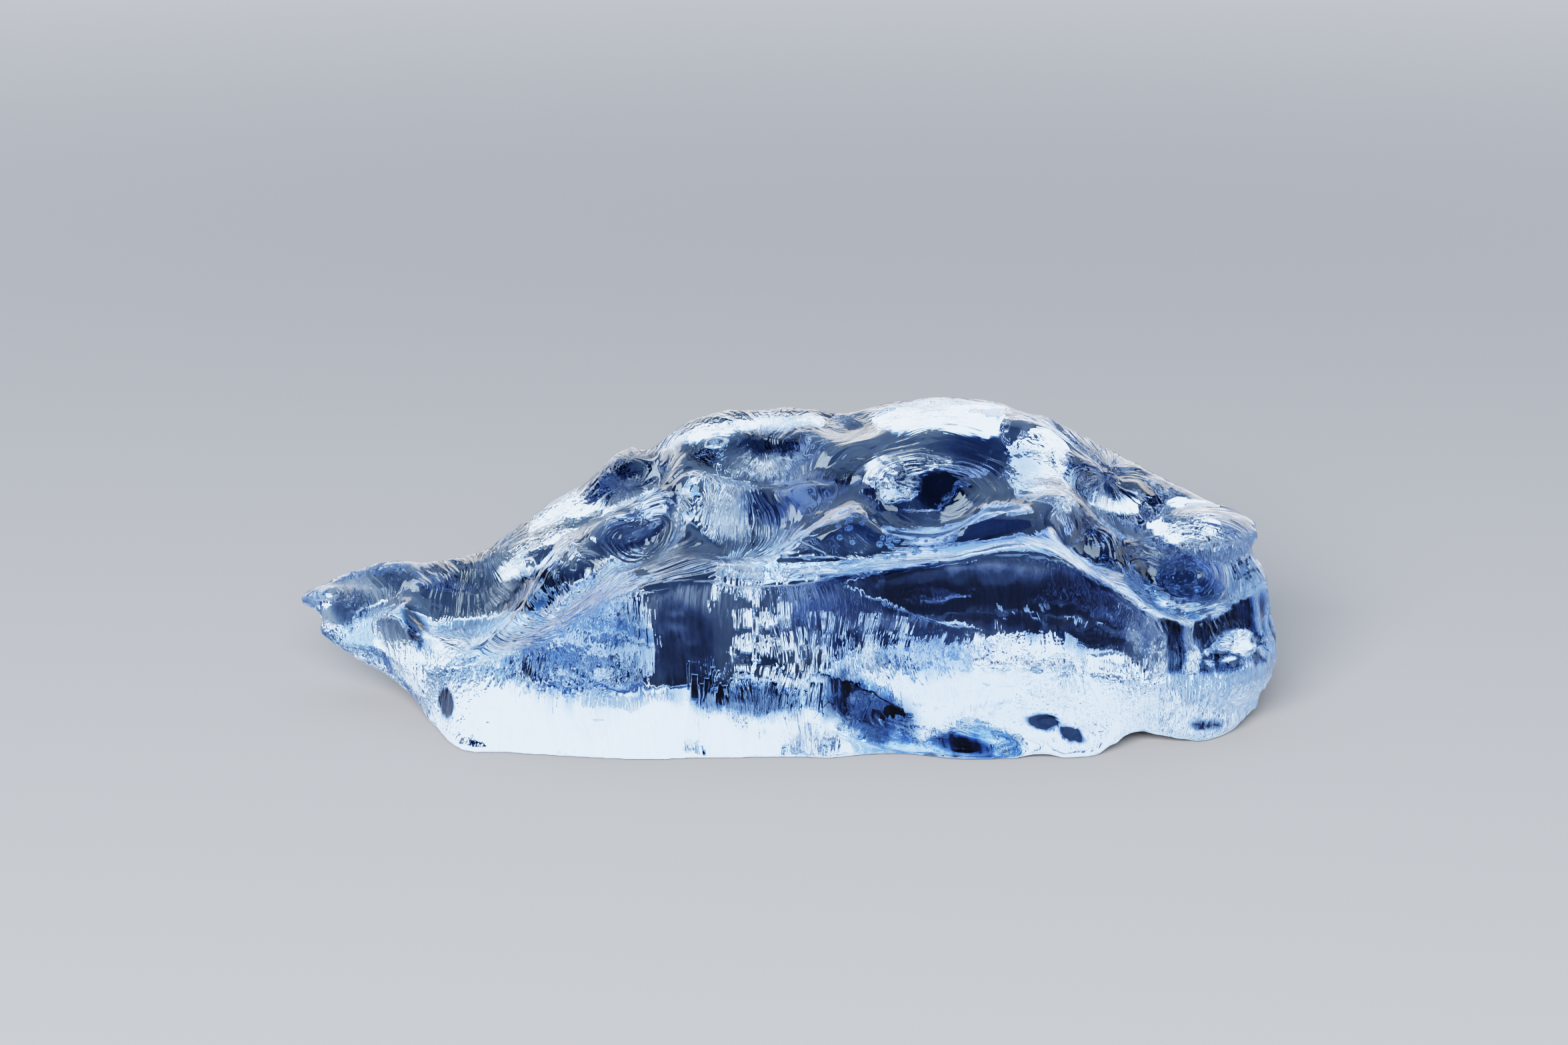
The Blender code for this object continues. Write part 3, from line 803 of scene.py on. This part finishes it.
def note_reader(nodes, name):
    """Add a node that reads one of the skin's notes."""
    reader = nodes.new("ShaderNodeAttribute")
    reader.attribute_name = name
    return reader


def noise(nodes, scale, detail):
    """Add a noise texture."""
    texture = nodes.new("ShaderNodeTexNoise")
    texture.inputs["Scale"].default_value = scale
    texture.inputs["Detail"].default_value = detail
    return texture


def maths(nodes, links, operation, number, factor):
    """Do one sum on a number, with a fixed second number."""
    node = nodes.new("ShaderNodeMath")
    node.operation = operation
    node.inputs[1].default_value = factor
    links.new(number, node.inputs[0])
    return node


def bumps(nodes, links, height, strength, distance, under=None):
    """Add bumps of one pattern, on top of others if there are any."""
    relief = nodes.new("ShaderNodeBump")
    relief.inputs["Distance"].default_value = distance
    links.new(height.outputs["Fac"], relief.inputs["Height"])
    links.new(strength.outputs["Fac"], relief.inputs["Strength"])
    if under:
        links.new(under.outputs["Normal"], relief.inputs["Normal"])
    return relief


def tint_with_painted_shade(nodes, links, where, deep):
    """Add the ice's own pale blue colour, with painted shade in its dark places, broken up by streaks along
    the grain.
    """
    # The streaks also paint faint shade along the grain where no other shade is painted.
    streaks = noise(nodes, *TINT_NOISE)
    links.new(where.outputs["Vector"], streaks.inputs["Vector"])
    centred = maths(nodes, links, "SUBTRACT", deep.outputs["Fac"], 0.5 * TINT_COMB)
    combed = maths(nodes, links, "MULTIPLY_ADD", streaks.outputs["Fac"], TINT_COMB)
    combed.use_clamp = True
    links.new(centred.outputs["Value"], combed.inputs[2])
    tint = nodes.new("ShaderNodeValToRGB")
    steps = tint.color_ramp.elements
    for i, (stop, colour) in enumerate(TINT_AND_PAINTED_SHADE.items()):
        # A new colour ramp has two steps already.
        step = steps[i] if i < 2 else steps.new(stop)
        step.position = stop
        step.color = colour
    links.new(combed.outputs["Value"], tint.inputs["Fac"])
    return tint


def ice_material():
    """Clear ice: plain transmission, blue that gathers with depth, fine ribs, and rime where it is milky."""
    material = bpy.data.materials.new("clear_ice")
    material.use_nodes = True
    nodes, links = material.node_tree.nodes, material.node_tree.links
    shader = nodes["Principled BSDF"]
    shader.inputs["IOR"].default_value = ICE_IOR
    shader.inputs["Transmission Weight"].default_value = 1.0
    where = note_reader(nodes, "flow")
    milky = note_reader(nodes, "milky")
    ribs = noise(nodes, *FINE_RIBS)
    links.new(where.outputs["Vector"], ribs.inputs["Vector"])
    relief = bumps(nodes, links, ribs, note_reader(nodes, "flow_strength"), FINE_RIB_HEIGHT)
    place = nodes.new("ShaderNodeTexCoord")
    speckles = noise(nodes, *SPECKLES)
    links.new(place.outputs["Object"], speckles.inputs["Vector"])
    rime = bumps(nodes, links, speckles, milky, SPECKLE_HEIGHT, relief)
    links.new(rime.outputs["Normal"], shader.inputs["Normal"])
    # Base colour: the ice's own pale tint together with the painted shade of the note called deep.
    tint = tint_with_painted_shade(nodes, links, where, note_reader(nodes, "deep"))
    links.new(tint.outputs["Color"], shader.inputs["Base Color"])
    dull = maths(nodes, links, "MULTIPLY", milky.outputs["Fac"], RIME_ROUGHNESS)
    links.new(dull.outputs["Value"], shader.inputs["Roughness"])
    depth = nodes.new("ShaderNodeVolumeAbsorption")
    depth.inputs["Color"].default_value = DEPTH_COLOUR
    depth.inputs["Density"].default_value = DEPTH_DENSITY
    links.new(depth.outputs["Volume"], nodes["Material Output"].inputs["Volume"])
    return material


def floor():
    """A plain pale floor, which glows far away with painted light so that it meets the pale room."""
    bpy.ops.object.select_all(action="DESELECT")
    bpy.ops.mesh.primitive_plane_add(size=FLOOR_SIZE, location=(0, 0, -FLOOR_DROP))
    plane = bpy.context.object
    plane.name = "studio_floor"
    material = bpy.data.materials.new("pale_floor")
    material.use_nodes = True
    shader = material.node_tree.nodes["Principled BSDF"]
    shader.inputs["Base Color"].default_value = FLOOR_COLOUR
    shader.inputs["Roughness"].default_value = 1.0
    shader.inputs["Specular IOR Level"].default_value = 0.0
    # Painted light: the floor glows in the pale colour of the room, more the farther it lies.
    shader.inputs["Emission Color"].default_value = ROOM_PALE
    nodes, links = material.node_tree.nodes, material.node_tree.links
    place = nodes.new("ShaderNodeTexCoord")
    distance = nodes.new("ShaderNodeVectorMath")
    distance.operation = "LENGTH"
    links.new(place.outputs["Object"], distance.inputs[0])
    far = nodes.new("ShaderNodeMapRange")
    far.interpolation_type = "SMOOTHSTEP"
    far.inputs["From Min"].default_value, far.inputs["From Max"].default_value = FAR_FLOOR_GLOW
    links.new(distance.outputs["Value"], far.inputs["Value"])
    links.new(far.outputs["Result"], shader.inputs["Emission Strength"])
    plane.data.materials.append(material)


def softbox(name, place, target, size, glow, colour, lights_floor):
    """Hang one soft rectangular light, aimed at a point."""
    light = bpy.data.lights.new(name, "AREA")
    light.shape = "RECTANGLE"
    light.size, light.size_y = size
    light.energy = glow * math.pi * size[0] * size[1]
    light.color = colour
    holder = bpy.data.objects.new(name, light)
    bpy.context.scene.collection.objects.link(holder)
    holder.location = place
    holder.rotation_euler = (Vector(target) - Vector(place)).to_track_quat("-Z", "Y").to_euler()
    holder.visible_camera = False
    holder.visible_diffuse = lights_floor
    holder.visible_glossy = not lights_floor


def studio():
    """Hang the softboxes and paint the room."""
    for name, box in SOFTBOXES.items():
        softbox(name, *box)
    world = bpy.data.worlds.new("room")
    bpy.context.scene.world = world
    world.use_nodes = True
    nodes, links = world.node_tree.nodes, world.node_tree.links
    paths = nodes.new("ShaderNodeLightPath")
    walls = nodes.new("ShaderNodeMix")
    walls.data_type = "RGBA"
    walls.inputs["A"].default_value = ROOM_DIM
    walls.inputs["B"].default_value = ROOM_PALE
    links.new(paths.outputs["Is Camera Ray"], walls.inputs["Factor"])
    links.new(walls.outputs["Result"], nodes["Background"].inputs["Color"])


def camera():
    """Set up the camera and aim it."""
    lens = bpy.data.cameras.new("camera")
    lens.lens = CAMERA_LENS
    lens.sensor_width = CAMERA_SENSOR
    holder = bpy.data.objects.new("camera", lens)
    bpy.context.scene.collection.objects.link(holder)
    back = Vector((0.0, -math.cos(CAMERA_ELEVATION), math.sin(CAMERA_ELEVATION)))
    holder.location = CAMERA_AIM + back * CAMERA_DISTANCE
    holder.rotation_euler = (-back).to_track_quat("-Z", "Y").to_euler()
    bpy.context.scene.camera = holder


def light_paths():
    """Let light pass through all the walls of the ice, and set how the picture is toned."""
    cycles = bpy.context.scene.cycles
    cycles.max_bounces = MOST_BOUNCES
    cycles.transmission_bounces = MOST_TRANSMISSIONS
    cycles.glossy_bounces = MOST_REFLECTIONS
    cycles.caustics_refractive = False
    cycles.caustics_reflective = False
    cycles.use_denoising = True
    view = bpy.context.scene.view_settings
    view.view_transform = "Filmic"
    view.look = "High Contrast"
    view.exposure = EXPOSURE


ice = clear_ice()
ice.data.materials.append(ice_material())
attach(ice, "root")
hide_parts(NODE)
floor()
studio()
camera()
light_paths()
